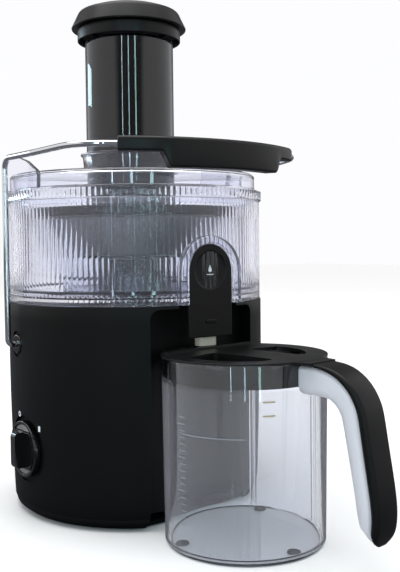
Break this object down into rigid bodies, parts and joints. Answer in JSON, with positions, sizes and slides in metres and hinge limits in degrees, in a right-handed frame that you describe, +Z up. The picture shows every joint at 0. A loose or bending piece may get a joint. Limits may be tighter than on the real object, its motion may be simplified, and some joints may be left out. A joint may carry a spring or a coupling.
{
  "type": "centrifugal juicer",
  "caption": "Centrifugal juicer with a round motor base, clear bowl and lid, tall feed chute with pusher, wire locking bail, side switch knob, and a lidded juice jug under its spout.",
  "frame": {"origin": "centre of the bottom cover's underside, on the motor's axis; the feet and the jug's base reach 1.5 mm lower", "axes": "+Z up along the motor's axis, -Y to the front where the spout and the jug are, -X to the side with the switch knob"},
  "size_m": [0.2488, 0.4037, 0.4456],
  "materials": {
    "housing_black": "satin black moulded plastic",
    "satin_black": "satin black plastic",
    "gloss_black": "polished black plastic",
    "silver_paint": "silver painted plastic",
    "clear_plastic": "clear polished plastic",
    "smoked_plastic": "smoked clear polished plastic",
    "nozzle_grey": "pale grey plastic",
    "bail_chrome": "polished chrome",
    "sieve_steel": "perforated stainless sheet",
    "foot_rubber": "soft black rubber",
    "inner_steel": "plain steel",
    "inner_white": "natural nylon",
    "board_green": "circuit board"
  },
  "bodies": {
    "base": {"motor_housing": "housing_black", "bottom_cover": "housing_black", "cover_screw_1": "inner_steel", "cover_screw_2": "inner_steel", "cover_screw_3": "inner_steel", "cover_screw_4": "inner_steel", "rubber_foot_1": "foot_rubber", "rubber_foot_2": "foot_rubber", "rubber_foot_3": "foot_rubber", "rubber_foot_4": "foot_rubber", "cord_inlet": "foot_rubber", "motor_stator": "inner_steel", "lower_bearing": "inner_steel", "upper_bearing": "inner_steel", "lower_motor_bracket": "inner_steel", "upper_motor_bracket": "inner_steel", "motor_damper_1": "foot_rubber", "motor_damper_2": "foot_rubber", "motor_damper_3": "foot_rubber", "shaft_seal": "foot_rubber", "rotary_switch": "inner_white", "interlock_switch": "gloss_black", "control_board": "board_green", "pivot_bush_left": "gloss_black", "pivot_bush_right": "gloss_black"},
    "rotor": {"motor_rotor": "inner_steel", "cooling_fan": "inner_white", "drive_coupling": "inner_white"},
    "knob": {"switch_knob": "gloss_black", "dial_segment_top": "silver_paint", "dial_segment_bottom": "silver_paint"},
    "bowl": {"juice_bowl": "clear_plastic", "juice_collector": "clear_plastic", "juice_channel": "clear_plastic", "pour_nozzle": "nozzle_grey"},
    "drip_gate": {"drip_stop": "satin_black"},
    "basket": {"basket_rim": "satin_black", "sieve_mesh": "sieve_steel", "grating_disc": "sieve_steel", "basket_hub": "satin_black"},
    "lid": {"lid": "clear_plastic", "feed_chute": "smoked_plastic"},
    "pusher": {"pusher_tube": "satin_black", "pusher_collar": "satin_black", "pusher_cap": "satin_black"},
    "bail": {"bail_handle": "satin_black", "bail_rod_left": "bail_chrome", "bail_rod_right": "bail_chrome"},
    "jug": {"jug_body": "clear_plastic", "jug_grip": "satin_black", "jug_lid": "satin_black", "foam_separator": "clear_plastic"}
  },
  "joints": [
    {"name": "rotor_spin", "type": "hinge", "parent": "base", "child": "rotor", "pos_m": [0, 0, 0.016], "axis": [0, 0, 1], "continuous": true},
    {"name": "knob_turn", "type": "hinge", "parent": "base", "child": "knob", "pos_m": [-0.1103, 0, 0.0579], "axis": [1, 0, 0], "range_deg": [0, 71]},
    {"name": "bowl_lift", "type": "slide", "parent": "base", "child": "bowl", "axis": [0, 0, 1], "range_m": [0, 0.12]},
    {"name": "drip_stop_slide", "type": "slide", "parent": "bowl", "child": "drip_gate", "axis": [0, 0, 1], "range_m": [-0.006, 0]},
    {"name": "basket_spin", "type": "hinge", "parent": "bowl", "child": "basket", "pos_m": [0, 0, 0.19], "axis": [0, 0, 1], "continuous": true},
    {"name": "lid_lift", "type": "slide", "parent": "bowl", "child": "lid", "axis": [0, 0, 1], "range_m": [0, 0.1]},
    {"name": "pusher_slide", "type": "slide", "parent": "lid", "child": "pusher", "axis": [0, 0, 1], "range_m": [0, 0.155]},
    {"name": "bail_swing", "type": "hinge", "parent": "base", "child": "bail", "pos_m": [0, 0.0115, 0.1465], "axis": [1, 0, 0], "range_deg": [0, 38]},
    {"name": "jug_pull", "type": "slide", "parent": "base", "child": "jug", "axis": [0, -1, 0], "range_m": [0, 0.12]}
  ],
  "couplings": [
    {"joint": "basket_spin", "follows": "rotor_spin", "ratio": 1}
  ]
}
